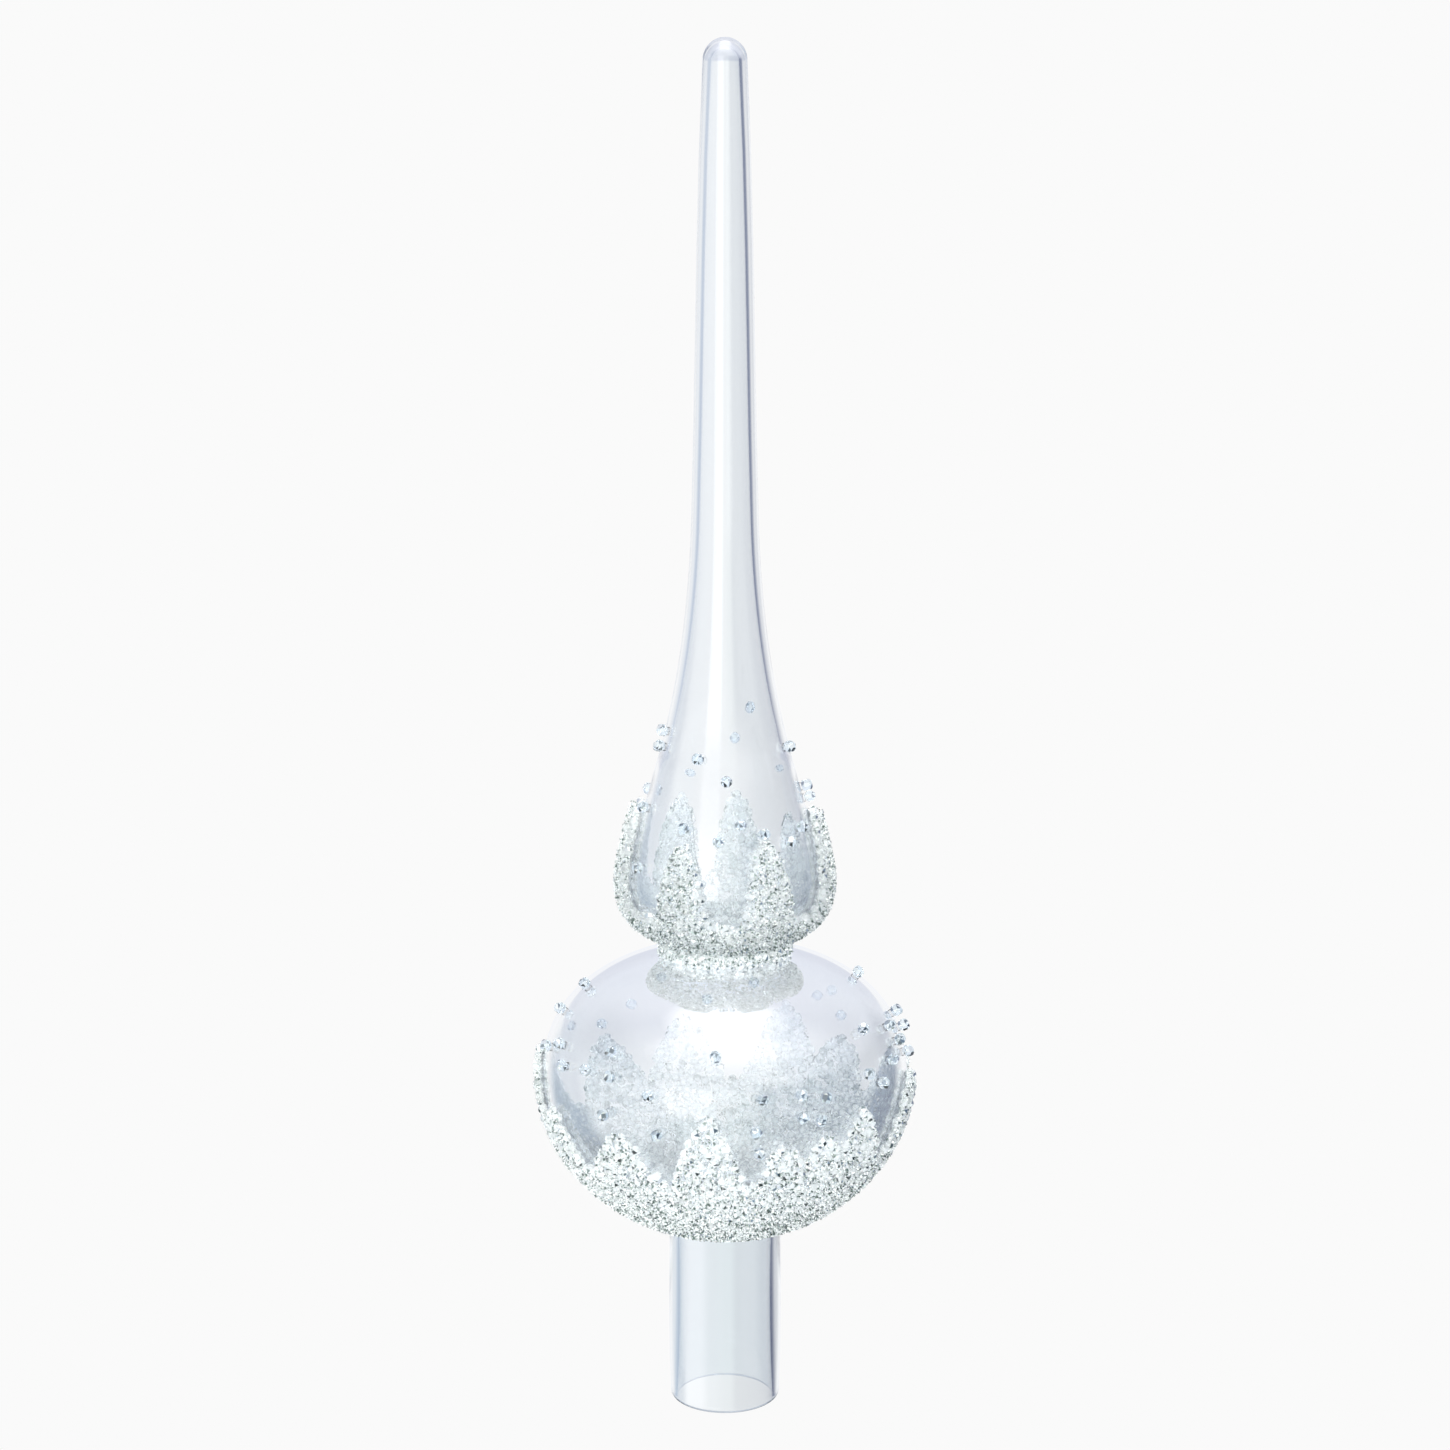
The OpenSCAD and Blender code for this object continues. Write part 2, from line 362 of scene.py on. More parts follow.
def shell_feet(node, glass_tree):
    """The crust shell's inner face, which lies on the film of adhesive: its corners, its
    normals away from the glass, its areas, and a tree of the whole shell."""
    co, tri = cad_arrays(node)
    corners = co[tri]
    normal = np.cross(corners[:, 1] - corners[:, 0], corners[:, 2] - corners[:, 0])
    area = np.linalg.norm(normal, axis=1) / 2
    good = area > TINY
    corners = corners[good]
    area = area[good]
    normal = normal[good] / (2 * area)[:, None]
    inner = np.zeros(len(area), bool)
    for i, middle in enumerate(corners.mean(1)):
        at, out, _, _ = glass_tree.find_nearest(middle)
        gap = (Vector(middle) - at).length
        inner[i] = abs(gap - FILM) < FILM_SLACK and out.dot(Vector(normal[i])) < INWARD_LEAN
    return corners[inner], -normal[inner], area[inner], bvh_of(co, tri)


def random_feet(feet, tries, rng):
    """Random points on the shell's inner face, with the way out from the glass."""
    corners, out, area, _ = feet
    pick = rng.choice(len(area), tries, p=area / area.sum())
    u, v = rng.random((2, tries))
    fold = u + v > 1
    u[fold], v[fold] = 1 - u[fold], 1 - v[fold]
    base = (corners[pick, 0] + u[:, None] * (corners[pick, 1] - corners[pick, 0])
            + v[:, None] * (corners[pick, 2] - corners[pick, 0]))
    return base, out[pick]


class Packing:
    """Keeps centres at least a spacing apart, with a grid of cells of that size."""

    def __init__(self, spacing):
        self.spacing = spacing
        self.cells = {}

    def add(self, c):
        """Takes the centre and returns True, or False if it is too close to another."""
        x, y, z = (int(math.floor(q / self.spacing)) for q in c)
        for i in (x - 1, x, x + 1):
            for j in (y - 1, y, y + 1):
                for k in (z - 1, z, z + 1):
                    for q in self.cells.get((i, j, k), ()):
                        gap = (q[0] - c[0])**2 + (q[1] - c[1])**2 + (q[2] - c[2])**2
                        if gap < self.spacing**2:
                            return False
        self.cells.setdefault((x, y, z), []).append(tuple(c))
        return True


def crust_places(feet, spacing, low, high, least, tries, rng):
    """Centres packed in the shell, from low above its inner face to high below its outer,
    with the way out at each. least is how far up the shell the lowest ones may be, from 0
    to 1. Half of the tries are for the lowest level, and they go first."""
    base, out = random_feet(feet, int(feet[2].sum() / spacing**2 * tries), rng)
    tree = feet[3]
    packing = Packing(spacing)
    level = rng.random(len(base))
    level[level < 0.5] = 0
    level = least + (1 - least) * level
    kept = []
    for i in np.argsort(level > least, kind="stable"):
        p, n = Vector(base[i]), Vector(out[i])
        hit = tree.ray_cast(p + n * SKIN, n)[0]
        if hit is None:
            continue
        top = max((hit - p).length - high, low)
        c = p + n * (low + (top - low) * level[i])
        if packing.add(c):
            kept.append((*c, *n))
    kept = np.array(kept)
    return kept[:, :3], kept[:, 3:]


# ---------------------------------------------------------------- materials

# What a surface lets through, and what it lets through of the lamps' light.
THIN_TINT = (0.97, 0.985, 0.995, 1)
THICK_TINT = (0.93, 0.96, 0.98, 1)
LAMP_TINT = (0.96, 0.97, 0.98, 1)
CRUST_LAMP_TINT = (0.812, 0.82, 0.822, 1)

# The blown glass: its waves, and the sheen of its outer face.
GLASS_IOR = 1.5
WAVE_SCALE = (60, 60, 14)
WAVE_DEPTH = 0.0005
WAVE_STRENGTH = 0.06
LUSTRE_IOR = 2.2
LUSTRE_COLOUR = (0.94, 0.96, 1.0, 1)
SHOULDER_LUSTRE = 0.42

# The crystals: the share of their frost on facets that don't face outward, the colour and
# the blur of facets that flash, the blur of the facets darkened with painted shade, the grain
# that tells facets apart, and how far a single crystal's outward facet leans away from the
# axis.
FROST_INSIDE = 0.4
FLASH_COLOUR = (0.98, 1.0, 0.97, 1)
FLASH_BLUR = 0.04
PAINTED_SHADE_BLUR = 0.12
FACET_GRAIN = (0.05, 0.05, 0.05)
AWAY_LEAN = 0.001

# The adhesive's grain, its strongest haze, and how much it mirrors.
GLUE_GRAIN = 900.0
GLUE_HAZE = 0.12
GLUE_IOR = 1.2

# Tints are lists of positions from 0 to 1 with a colour.
BEAD_TINTS = (
    (0, (0.96, 0.98, 0.965)),
    (1, (0.99, 0.997, 0.985)),
)
# The chips' tints run from painted shade to their own pale tint: the darkest chips stand in
# for the dark specks of clear facets that mirror shade.
CHIP_TINTS_AND_PAINTED_SHADE = (
    (0, (0.10, 0.14, 0.12)),
    (0.20, (0.24, 0.30, 0.27)),
    (0.36, (0.932, 0.958, 0.94)),
    (1, (0.99, 0.997, 0.985)),
)
ICE_TINTS = (
    (0, (0.84, 0.93, 0.97)),
    (1, (0.94, 0.98, 1.0)),
)


def node_material(name):
    """A material with an empty node tree, and a function that adds nodes to it."""
    material = bpy.data.materials.new(name)
    material.use_nodes = True
    tree = material.node_tree
    tree.nodes.clear()

    def add(kind, **values):
        node = tree.nodes.new(kind)
        for key, value in values.items():
            if key in node.inputs:
                node.inputs[key].default_value = value
            else:
                setattr(node, key, value)
        return node

    return material, tree, add


def let_lamps_through(tree, add, shader, tint):
    """Shadow rays pass the surface, dimmed by the tint, so that lamps reach what is behind."""
    clear = add("ShaderNodeBsdfTransparent", Color=tint)
    path = add("ShaderNodeLightPath")
    mix = add("ShaderNodeMixShader")
    tree.links.new(path.outputs["Is Shadow Ray"], mix.inputs["Fac"])
    tree.links.new(shader, mix.inputs[1])
    tree.links.new(clear.outputs["BSDF"], mix.inputs[2])
    return mix.outputs["Shader"]


def clear_glass(name, lustre, tint):
    """Clear blown glass with faint waves; lustre adds the sheen of its outer face, which
    is heavier where the glass faces up."""
    material, tree, add = node_material(name)
    out = add("ShaderNodeOutputMaterial")
    shader = add("ShaderNodeBsdfPrincipled", IOR=GLASS_IOR, Roughness=0.0)
    shader.inputs["Transmission Weight"].default_value = 1.0
    shader.inputs["Base Color"].default_value = tint
    place = add("ShaderNodeTexCoord")
    stretch = add("ShaderNodeMapping")
    stretch.inputs["Scale"].default_value = WAVE_SCALE
    waves = add("ShaderNodeTexNoise", Scale=1.0, Detail=2.0)
    bump = add("ShaderNodeBump", Strength=WAVE_STRENGTH, Distance=WAVE_DEPTH)
    link = tree.links.new
    link(place.outputs["Object"], stretch.inputs["Vector"])
    link(stretch.outputs["Vector"], waves.inputs["Vector"])
    link(waves.outputs["Fac"], bump.inputs["Height"])
    link(bump.outputs["Normal"], shader.inputs["Normal"])
    if not lustre:
        passed = let_lamps_through(tree, add, shader.outputs["BSDF"], LAMP_TINT)
        link(passed, out.inputs["Surface"])
        return material
    sheen = add("ShaderNodeBsdfGlossy", Roughness=0.0, Color=LUSTRE_COLOUR)
    edge = add("ShaderNodeFresnel", IOR=LUSTRE_IOR)
    facing = add("ShaderNodeNewGeometry")
    outside = add("ShaderNodeMath", operation="SUBTRACT")
    outside.inputs[0].default_value = 1
    share = add("ShaderNodeMath", operation="MULTIPLY")
    mix = add("ShaderNodeMixShader")
    link(bump.outputs["Normal"], sheen.inputs["Normal"])
    link(bump.outputs["Normal"], edge.inputs["Normal"])
    link(facing.outputs["Backfacing"], outside.inputs[1])
    link(outside.outputs[0], share.inputs[0])
    upright = add("ShaderNodeSeparateXYZ")
    upward = add("ShaderNodeMath", operation="MAXIMUM")
    upward.inputs[1].default_value = 0
    squared = add("ShaderNodeMath", operation="POWER")
    squared.inputs[1].default_value = 2
    coat = add("ShaderNodeMath", operation="MULTIPLY_ADD", use_clamp=True)
    coat.inputs[1].default_value = SHOULDER_LUSTRE
    link(facing.outputs["True Normal"], upright.inputs[0])
    link(upright.outputs["Z"], upward.inputs[0])
    link(upward.outputs[0], squared.inputs[0])
    link(squared.outputs[0], coat.inputs[0])
    link(edge.outputs["Fac"], coat.inputs[2])
    link(coat.outputs[0], share.inputs[1])
    link(share.outputs[0], mix.inputs["Fac"])
    link(shader.outputs["BSDF"], mix.inputs[1])
    link(sheen.outputs["BSDF"], mix.inputs[2])
    passed = let_lamps_through(tree, add, mix.outputs["Shader"], LAMP_TINT)
    link(passed, out.inputs["Surface"])
    return material


def crystal_glass(name, tints_and_painted_shade, ior, flash, painted_shade_share, painted_shade_colour, frost, bedded=True):
    """Cut glass. A facet that faces outward may flash, may be darkened with painted shade, or
    is clear with a little frost, and each crystal has its own tint, whose dark end, where the
    tints have one, is painted shade. flash and painted_shade_share are the shares of such
    facets.
    bedded: the attribute faces_out tells which facets face outward, otherwise those that
    face away from the axis do."""
    material, tree, add = node_material(name)
    link = tree.links.new
    out = add("ShaderNodeOutputMaterial")
    place = add("ShaderNodeNewGeometry")
    # Each crystal's own tint from the list. The dark stops of the chips' list are painted
    # shade.
    own = add("ShaderNodeValToRGB")
    stops = own.color_ramp.elements
    stops.remove(stops[-1])
    for k, (at, colour) in enumerate(tints_and_painted_shade):
        stop = stops[0] if k == 0 else stops.new(at)
        stop.position = at
        stop.color = (*colour, 1)
    clear = add("ShaderNodeBsdfPrincipled", IOR=ior, Roughness=0.0)
    clear.inputs["Transmission Weight"].default_value = 1.0
    link(place.outputs["Random Per Island"], own.inputs["Fac"])
    link(own.outputs["Color"], clear.inputs["Base Color"])

    def product(first, second):
        """The product of two numbers."""
        times = add("ShaderNodeMath", operation="MULTIPLY")
        link(first, times.inputs[0])
        link(second, times.inputs[1])
        return times.outputs[0]

    from_outside = add("ShaderNodeMath", operation="SUBTRACT")
    from_outside.inputs[0].default_value = 1
    link(place.outputs["Backfacing"], from_outside.inputs[1])
    live = from_outside.outputs[0]
    if bedded:
        open_face = add("ShaderNodeAttribute", attribute_name=FACES_OUT)
        live = product(live, open_face.outputs["Fac"])
    else:
        from_axis = add("ShaderNodeVectorMath", operation="MULTIPLY")
        from_axis.inputs[1].default_value = (1, 1, 0)
        away = add("ShaderNodeVectorMath", operation="DOT_PRODUCT")
        outward = add("ShaderNodeMath", operation="GREATER_THAN")
        outward.inputs[1].default_value = AWAY_LEAN
        link(place.outputs["Position"], from_axis.inputs[0])
        link(from_axis.outputs[0], away.inputs[0])
        link(place.outputs["True Normal"], away.inputs[1])
        link(away.outputs["Value"], outward.inputs[0])
        live = product(live, outward.outputs[0])

    snap = add("ShaderNodeVectorMath", operation="SNAP")
    snap.inputs[1].default_value = FACET_GRAIN
    facet = add("ShaderNodeTexWhiteNoise", noise_dimensions="4D")
    link(place.outputs["True Normal"], snap.inputs[0])
    link(snap.outputs[0], facet.inputs["Vector"])
    link(place.outputs["Random Per Island"], facet.inputs["W"])

    def chosen(operation, limit):
        """1 on the live facets whose own number is beyond the limit, else 0."""
        test = add("ShaderNodeMath", operation=operation)
        test.inputs[1].default_value = limit
        link(facet.outputs["Value"], test.inputs[0])
        return product(test.outputs[0], live)

    def over(base, share, top):
        """The top shader over a share of the base."""
        mix = add("ShaderNodeMixShader")
        link(share, mix.inputs["Fac"])
        link(base, mix.inputs[1])
        link(top, mix.inputs[2])
        return mix.outputs["Shader"]

    scattered = add("ShaderNodeBsdfDiffuse")
    through = add("ShaderNodeBsdfTranslucent")
    link(own.outputs["Color"], scattered.inputs["Color"])
    link(own.outputs["Color"], through.inputs["Color"])
    soft = add("ShaderNodeMixShader", Fac=0.5)
    link(scattered.outputs["BSDF"], soft.inputs[1])
    link(through.outputs["BSDF"], soft.inputs[2])
    amount = add("ShaderNodeMapRange")
    amount.inputs["To Min"].default_value = frost * FROST_INSIDE
    amount.inputs["To Max"].default_value = frost
    link(live, amount.inputs["Value"])
    bright = add("ShaderNodeBsdfGlossy", Roughness=FLASH_BLUR, Color=FLASH_COLOUR)
    # Painted shade: a dim, dark mirror that stands in for facets which mirror shade.
    dark = add("ShaderNodeBsdfGlossy", Roughness=PAINTED_SHADE_BLUR, Color=(*painted_shade_colour, 1))
    shader = over(clear.outputs["BSDF"], amount.outputs["Result"], soft.outputs["Shader"])
    shader = over(shader, chosen("GREATER_THAN", 1 - flash), bright.outputs["BSDF"])
    shader = over(shader, chosen("LESS_THAN", painted_shade_share), dark.outputs["BSDF"])
    passed = let_lamps_through(tree, add, shader, CRUST_LAMP_TINT)
    link(passed, out.inputs["Surface"])
    return material


def adhesive():
    """Clear cured adhesive: see-through, with a faint haze and a sheen."""
    material, tree, add = node_material("adhesive_look")
    out = add("ShaderNodeOutputMaterial")
    clear = add("ShaderNodeBsdfTransparent", Color=(0.985, 0.99, 0.995, 1))
    sheen = add("ShaderNodeBsdfGlossy", Roughness=0.08)
    haze = add("ShaderNodeBsdfTranslucent", Color=(0.95, 0.97, 0.98, 1))
    noise = add("ShaderNodeTexNoise", Scale=GLUE_GRAIN, Detail=3.0)
    place = add("ShaderNodeTexCoord")
    amount = add("ShaderNodeMapRange")
    amount.inputs["To Min"].default_value = 0.0
    amount.inputs["To Max"].default_value = GLUE_HAZE
    edge = add("ShaderNodeFresnel", IOR=GLUE_IOR)
    mix_haze = add("ShaderNodeMixShader")
    mix_sheen = add("ShaderNodeMixShader")
    link = tree.links.new
    link(place.outputs["Object"], noise.inputs["Vector"])
    link(noise.outputs["Fac"], amount.inputs["Value"])
    link(amount.outputs["Result"], mix_haze.inputs["Fac"])
    link(clear.outputs["BSDF"], mix_haze.inputs[1])
    link(haze.outputs["BSDF"], mix_haze.inputs[2])
    link(edge.outputs["Fac"], mix_sheen.inputs["Fac"])
    link(mix_haze.outputs["Shader"], mix_sheen.inputs[1])
    link(sheen.outputs["BSDF"], mix_sheen.inputs[2])
    link(mix_sheen.outputs["Shader"], out.inputs["Surface"])
    return material


thin = (clear_glass("blown_outside_look", True, THIN_TINT),
        clear_glass("blown_inside_look", False, THIN_TINT))
thick = (clear_glass("tube_outside_look", True, THICK_TINT),
         clear_glass("tube_inside_look", False, THICK_TINT))
glue = adhesive()
# In each look, painted_shade_colour is painted shade on a share of the outward facets.
bead_glass = crystal_glass(
    "crust_bead_look", BEAD_TINTS, ior=1.52, flash=0.14, painted_shade_share=0.06,
    painted_shade_colour=(0.34, 0.40, 0.37), frost=0.30)
chip_glass = crystal_glass(
    "crust_chip_look", CHIP_TINTS_AND_PAINTED_SHADE, ior=1.52, flash=0.25, painted_shade_share=0.14,
    painted_shade_colour=(0.22, 0.27, 0.24), frost=0.62)
stone_glass = crystal_glass(
    "cut_crystal_look", ICE_TINTS, ior=1.6, flash=0.22, painted_shade_share=0.12,
    painted_shade_colour=(0.27, 0.31, 0.34), frost=0.10, bedded=False)


# ---------------------------------------------------------------- the pieces

# Crystals as (spacing, least width, greatest width) in mm, and where their centres may be:
# how far above the shell's inner face, how far below its outer one, both in mm, and the
# lowest level between the two, from 0 to 1. TRIES is the number of tries per square of the
# spacing's size. NECK_RISE is how far the neck's crystals come out of their shell, in mm.
BEAD_SIZES = (1.55, 1.7, 2.2)
BEAD_LEVELS = (0.6, 1.0, 0)
CHIP_SIZES = (0.47, 0.42, 0.82)
CHIP_LEVELS = (0.3, 0.22, 0.78)
BEAD_TRIES = 60
CHIP_TRIES = 6
NECK_RISE = 0.7

spire = glass_section("spire_bulb_glass", "spire_bulb", *thin)
globe = glass_section("globe_glass", "globe", *thin)
tube = glass_section("socket_tube_glass", "socket_tube", *thick)

rng = np.random.default_rng(7)
shape_rng = random.Random(11)
bead_shapes = [cut_bead(shape_rng, sides) for sides in (5, 6, 6, 7)]
chip_shapes = [chip(shape_rng) for _ in range(10)]


def tree_of(piece):
    """A tree of the piece's mesh, in mm."""
    points = [v.co / MM for v in piece.data.vertices]
    return bvh_of(points, [p.vertices for p in piece.data.polygons])


def crystal_piece(name, node, places, least, greatest, shapes, material):
    """A piece made of many crystals between two widths, which stands for a CAD crust."""
    centres, outward = places
    widths = rng.uniform(least, greatest, len(centres))
    kinds = rng.integers(0, len(shapes), len(centres))
    points, faces, open_faces = scatter(centres, widths, kinds, shapes, outward, rng)
    piece = new_piece(name, points, faces, material, (node,))
    mark = piece.data.attributes.new(FACES_OUT, "FLOAT", "FACE")
    mark.data.foreach_set("value", open_faces.astype(np.float32))


def crust(part, glass_tree, rise=0):
    """Beads bedded in the adhesive, and chips in the gaps between them. rise: how far the
    crystals come out of the CAD's shell."""
    node = part + "_crust"
    feet = shell_feet(node, glass_tree)
    spacing, least, greatest = BEAD_SIZES
    low, high, level = BEAD_LEVELS
    places = crust_places(feet, spacing, low, high - rise, level, BEAD_TRIES, rng)
    crystal_piece(node + "_beads", node, places, least, greatest, bead_shapes, bead_glass)
    spacing, least, greatest = CHIP_SIZES
    low, high, level = CHIP_LEVELS
    places = crust_places(feet, spacing, low, high - rise, level, CHIP_TRIES, rng)
    crystal_piece(node + "_chips", node, places, least, greatest, chip_shapes, chip_glass)


def give_look(name, material):
    """Gives a CAD node its material."""
    nodes[name].data.materials.clear()
    nodes[name].data.materials.append(material)


spire_tree = tree_of(spire)
crust("bulb", spire_tree)
crust("neck", spire_tree, NECK_RISE)
crust("globe", tree_of(globe))

for name in ("bulb_glue", "neck_glue", "globe_glue", "bulb_glue_dots", "globe_glue_dots"):
    give_look(name, glue)
for name in ("bulb_crystals", "globe_crystals"):
    give_look(name, stone_glass)


# ---------------------------------------------------------------- floor, light and camera

BACKDROP = 0.956
BACKDROP_COLOUR = (BACKDROP, BACKDROP, BACKDROP, 1)

# What the room has straight below: for mirror images, and for what is seen through glass.
FLOOR_MIRRORED = (0.10, 0.11, 0.12, 1)
FLOOR_THROUGH_GLASS = (0.80, 0.82, 0.85, 1)

# Metres and degrees.
FLOOR_RADIUS = 4.0
FLOOR_GAP = 0.0003
CAMERA_PLACE = (0, -0.55, 0.2455)
CAMERA_DIP = 11.01
CAMERA_LENS = 71.4
LAMP_TARGET = Vector((0, 0, 0.11))


def studio_world():
    """The room that the glass mirrors: white behind the object, and bright panels, grey and
    dark walls round the camera. The room turns with the camera, so that the glass is
    clear from every side. The camera itself sees one plain backdrop."""
    world = bpy.data.worlds.new("studio")
    bpy.context.scene.world = world
    world.use_nodes = True
    tree = world.node_tree
    tree.nodes.clear()
    link = tree.links.new
    out = tree.nodes.new("ShaderNodeOutputWorld")
    back = tree.nodes.new("ShaderNodeBackground")
    place = tree.nodes.new("ShaderNodeTexCoord")

    def along(direction):
        """How far a ray points along a direction, given in the camera's own axes."""
        dot = tree.nodes.new("ShaderNodeVectorMath")
        dot.operation = "DOT_PRODUCT"
        dot.inputs[1].default_value = direction
        link(place.outputs["Camera"], dot.inputs[0])
        return dot.outputs["Value"]

    dip = math.radians(CAMERA_DIP)
    right = along((1, 0, 0))
    nearer = along((0, -math.sin(dip), -math.cos(dip)))
    up = along((0, math.cos(dip), -math.sin(dip)))
    turn = tree.nodes.new("ShaderNodeMath")
    turn.operation = "ARCTAN2"
    share = tree.nodes.new("ShaderNodeMapRange")
    share.inputs["From Min"].default_value = -math.pi
    share.inputs["From Max"].default_value = math.pi
    link(right, turn.inputs[0])
    link(nearer, turn.inputs[1])
    link(turn.outputs[0], share.inputs["Value"])

    def ring(stops):
        """Colours round the horizon: azimuth from the camera, + to its right, and colour."""
        ramp = tree.nodes.new("ShaderNodeValToRGB")
        ramp.color_ramp.interpolation = "EASE"
        elements = ramp.color_ramp.elements
        elements.remove(elements[-1])
        for k, (azimuth, colour) in enumerate(stops):
            at = (azimuth + 180) / 360
            element = elements[0] if k == 0 else elements.new(at)
            element.position = at
            element.color = (*colour, 1)
        link(share.outputs["Result"], ramp.inputs["Fac"])
        return ramp.outputs["Color"]

    def blend(lower, upper, start, end):
        """Goes from the lower to the upper ring between two heights of the ray's direction,
        from -1 straight down to 1 straight up."""
        height = tree.nodes.new("ShaderNodeMapRange")
        height.interpolation_type = "SMOOTHSTEP"
        height.inputs["From Min"].default_value = start
        height.inputs["From Max"].default_value = end
        link(up, height.inputs["Value"])
        mix = tree.nodes.new("ShaderNodeMix")
        mix.data_type = "RGBA"
        link(height.outputs["Result"], mix.inputs[0])
        link(lower, mix.inputs[6])
        link(upper, mix.inputs[7])
        return mix.outputs[2]

    white = BACKDROP_COLOUR[:3]
    low = ring([
        (-180, white), (-150, white), (-130, (0.50, 0.58, 0.68)), (-105, (0.42, 0.50, 0.60)),
        (-85, (1.2, 1.22, 1.24)), (-55, (1.2, 1.22, 1.24)), (-30, (0.75, 0.82, 0.84)),
        (8, (0.55, 0.64, 0.64)), (28, (0.14, 0.19, 0.24)), (60, (0.10, 0.14, 0.20)),
        (128, (0.12, 0.14, 0.22)), (152, white), (180, white),
    ])
    middle = ring([
        (-180, white), (-150, white), (-130, (0.58, 0.64, 0.74)), (-105, (0.48, 0.55, 0.66)),
        (-80, (0.98, 1.02, 1.06)), (-60, (0.98, 1.02, 1.06)), (-42, (1.0, 1.02, 1.05)),
        (-34, (1.7, 1.7, 1.7)), (-12, (1.7, 1.7, 1.7)), (-4, (1.0, 1.02, 1.01)),
        (12, (0.78, 0.84, 0.84)), (28, (0.20, 0.26, 0.34)), (60, (0.16, 0.22, 0.31)),
        (95, (0.16, 0.19, 0.28)), (128, (0.24, 0.27, 0.37)), (150, white), (180, white),
    ])
    rim = ring([
        (-180, (0.74, 0.76, 0.83)), (-150, (0.74, 0.76, 0.83)), (-130, (0.54, 0.60, 0.70)),
        (-105, (0.48, 0.55, 0.66)), (-80, (0.98, 1.02, 1.06)), (-60, (0.98, 1.02, 1.06)),
        (-42, (1.0, 1.02, 1.05)), (-34, (1.7, 1.7, 1.7)), (-12, (1.7, 1.7, 1.7)),
        (-4, (1.0, 1.02, 1.01)), (12, (0.78, 0.84, 0.84)), (28, (0.20, 0.26, 0.34)),
        (60, (0.16, 0.22, 0.31)), (95, (0.16, 0.19, 0.28)), (128, (0.24, 0.27, 0.37)),
        (150, (0.74, 0.76, 0.83)), (180, (0.74, 0.76, 0.83)),
    ])
    high = ring([
        (-180, (0.82, 0.84, 0.91)), (-150, (0.78, 0.81, 0.89)), (-105, (0.42, 0.47, 0.58)),
        (-62, (0.68, 0.73, 0.80)), (-38, (0.98, 0.99, 1.0)), (28, (0.97, 0.98, 1.0)),
        (58, (0.72, 0.76, 0.84)), (110, (0.52, 0.55, 0.66)), (150, (0.78, 0.81, 0.89)),
        (180, (0.82, 0.84, 0.91)),
    ])
    sky = ring([
        (-180, (0.90, 0.91, 0.98)), (-140, (0.82, 0.84, 0.93)), (-105, (0.68, 0.71, 0.82)),
        (-85, (0.74, 0.77, 0.87)), (-45, (1.42, 1.42, 1.44)), (35, (1.42, 1.42, 1.44)),
        (75, (0.90, 0.93, 1.02)), (110, (0.66, 0.69, 0.80)), (150, (0.76, 0.78, 0.88)),
        (180, (0.90, 0.91, 0.98)),
    ])
    zenith = ring([(-180, (1.35, 1.35, 1.37)), (180, (1.35, 1.35, 1.37))])
    seen = tree.nodes.new("ShaderNodeLightPath")
    nadir = tree.nodes.new("ShaderNodeMix")
    nadir.data_type = "RGBA"
    nadir.inputs[6].default_value = FLOOR_MIRRORED
    nadir.inputs[7].default_value = FLOOR_THROUGH_GLASS
    link(seen.outputs["Is Transmission Ray"], nadir.inputs[0])
    room = blend(nadir.outputs[2], low, -0.66, -0.44)
    room = blend(room, middle, -0.30, -0.14)
    room = blend(room, rim, 0.03, 0.08)
    room = blend(room, high, 0.16, 0.42)
    room = blend(room, sky, 0.52, 0.88)
    room = blend(room, zenith, 0.88, 0.97)
    plain = tree.nodes.new("ShaderNodeMix")
    plain.data_type = "RGBA"
    plain.inputs[7].default_value = BACKDROP_COLOUR
    link(seen.outputs["Is Camera Ray"], plain.inputs[0])
    link(room, plain.inputs[6])
    link(plain.outputs[2], back.inputs["Color"])
    link(back.outputs[0], out.inputs["Surface"])


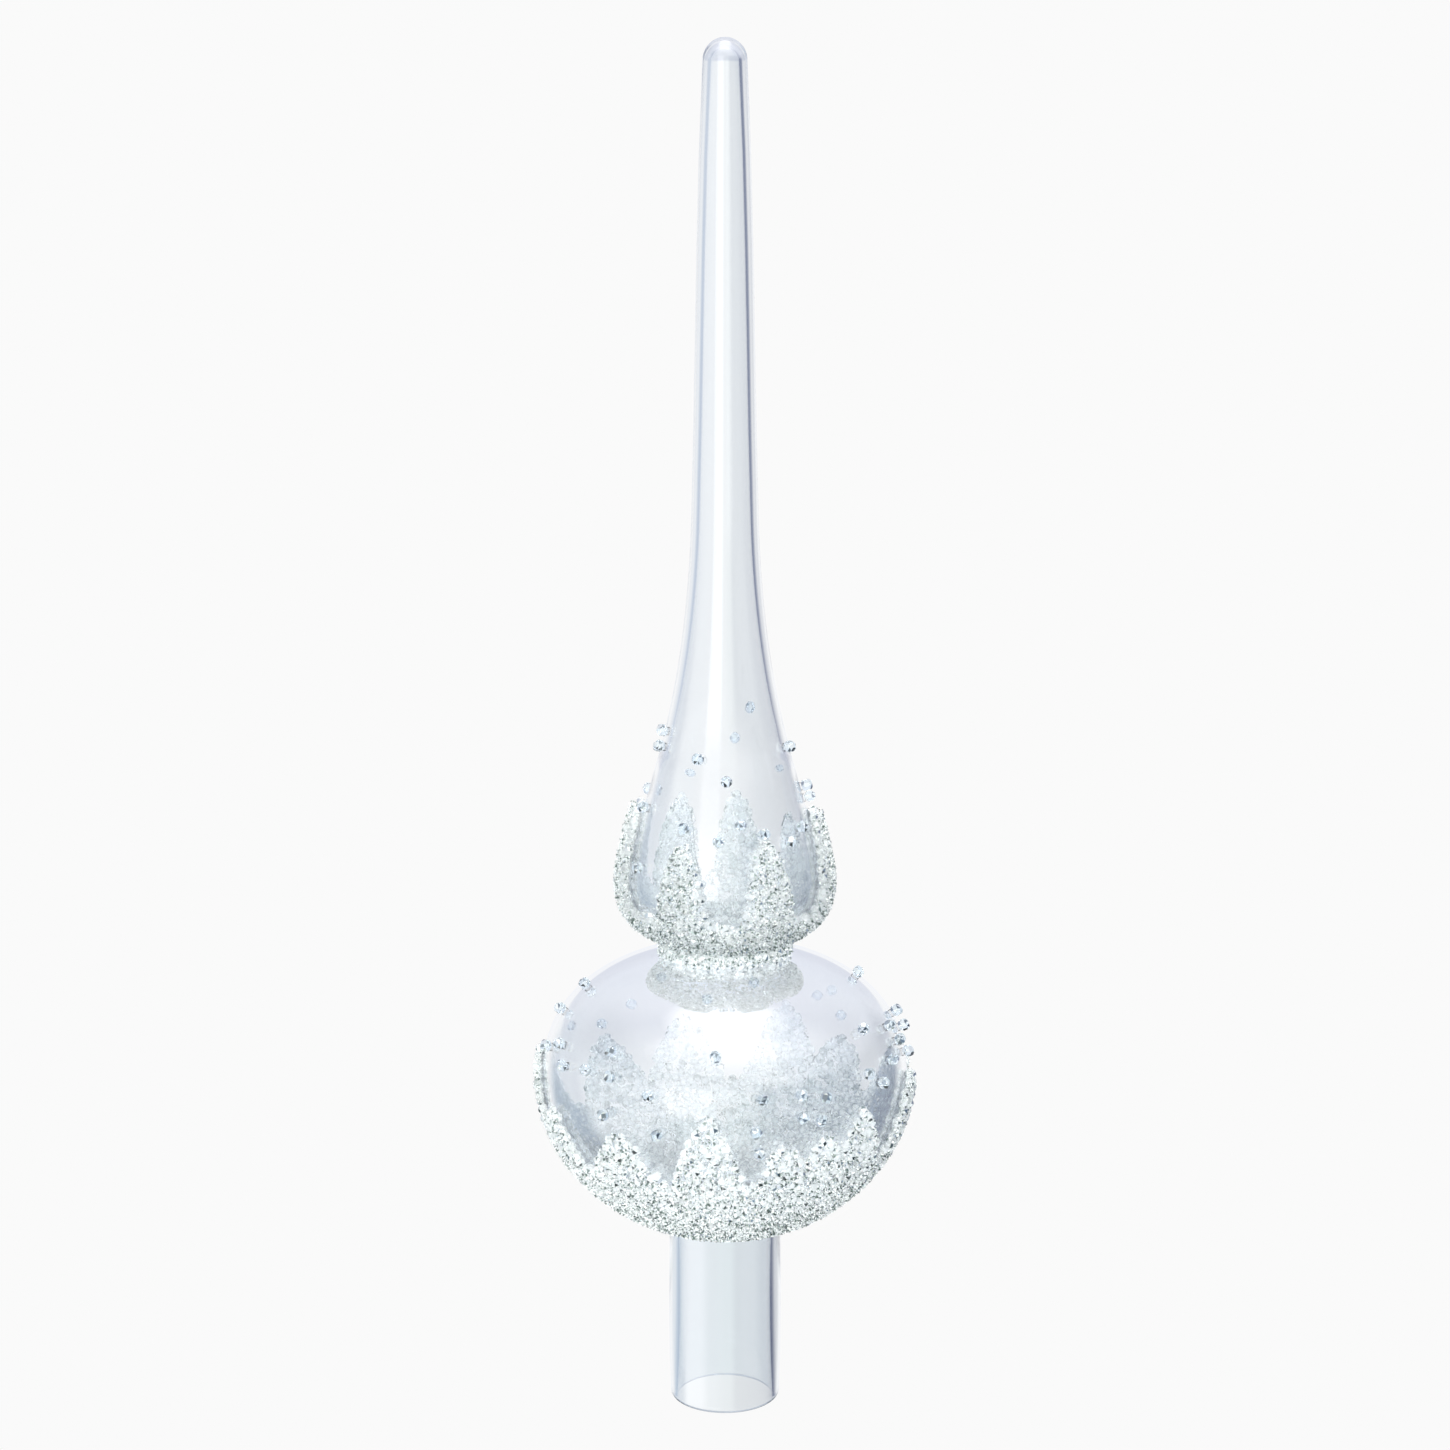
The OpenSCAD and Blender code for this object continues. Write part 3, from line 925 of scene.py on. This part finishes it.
def floor():
    """A plain pale floor in the backdrop's colour, which only the camera sees."""
    material, tree, add = node_material("floor_look")
    out = add("ShaderNodeOutputMaterial")
    glow = add("ShaderNodeEmission", Color=BACKDROP_COLOUR, Strength=1.0)
    tree.links.new(glow.outputs[0], out.inputs["Surface"])
    bm = bmesh.new()
    bmesh.ops.create_circle(bm, cap_ends=True, segments=96, radius=FLOOR_RADIUS)
    mesh = bpy.data.meshes.new("floor")
    bm.to_mesh(mesh)
    bm.free()
    mesh.materials.append(material)
    plane = bpy.data.objects.new("floor", mesh)
    plane.location.z = cad_box[0].z - FLOOR_GAP
    plane.visible_glossy = False
    plane.visible_transmission = False
    plane.visible_diffuse = False
    plane.visible_shadow = False
    bpy.context.scene.collection.objects.link(plane)
    plane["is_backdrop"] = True


def camera():
    """The camera at the photo's viewing angle."""
    data = bpy.data.cameras.new("camera")
    data.lens = CAMERA_LENS
    data.sensor_width = 36
    data.clip_start = 0.01
    data.clip_end = 20
    view = bpy.data.objects.new("camera", data)
    view.location = CAMERA_PLACE
    view.rotation_euler = (math.radians(90 - CAMERA_DIP), 0, 0)
    bpy.context.scene.collection.objects.link(view)
    bpy.context.scene.camera = view


def soft_light(name, at, size, power, only=None):
    """A large soft light aimed at the middle of the topper, not mirrored in the glass.
    only: it lights nothing but the pieces whose names start so."""
    data = bpy.data.lights.new(name, "AREA")
    data.shape = "SQUARE"
    data.size = size
    data.energy = power
    light = bpy.data.objects.new(name, data)
    light.location = at
    aim = LAMP_TARGET - Vector(at)
    light.rotation_euler = aim.to_track_quat("-Z", "Y").to_euler()
    light.visible_glossy = False
    light.visible_transmission = False
    light.visible_camera = False
    bpy.context.scene.collection.objects.link(light)
    if only:
        lit = bpy.data.collections.new(name + "_lights")
        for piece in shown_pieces():
            if piece.name.startswith(only):
                lit.objects.link(piece)
        light.light_linking.receiver_collection = lit


studio_world()
floor()
camera()

# Two lamps in front, two behind for the far side's crusts, and two that lift what faces
# down or lies in the bulb's shade: name, place, size in metres, power in watts.
soft_light("key", (-0.7, -1.0, 0.9), 1.0, 12)
soft_light("fill", (0.9, -0.8, 0.5), 1.0, 15, ("bulb", "neck", "globe_crystals"))
soft_light("back", (0.2, 1.1, 0.8), 1.2, 20)
soft_light("back_low", (-0.2, 1.2, -0.3), 1.2, 16)
soft_light("below", (0.1, -0.9, -0.35), 1.0, 19, ("globe_crust", "neck_crust"))
soft_light("neck_front", (0.0, -1.1, 0.1), 1.0, 7, ("neck_crust",))

# The light passes many walls and facets.
DEEP = 40
SHALLOW = 24
scene = bpy.context.scene
scene.view_settings.view_transform = "Standard"
scene.view_settings.look = "None"
scene.cycles.max_bounces = DEEP
scene.cycles.transmission_bounces = DEEP
scene.cycles.transparent_max_bounces = DEEP
scene.cycles.glossy_bounces = SHALLOW
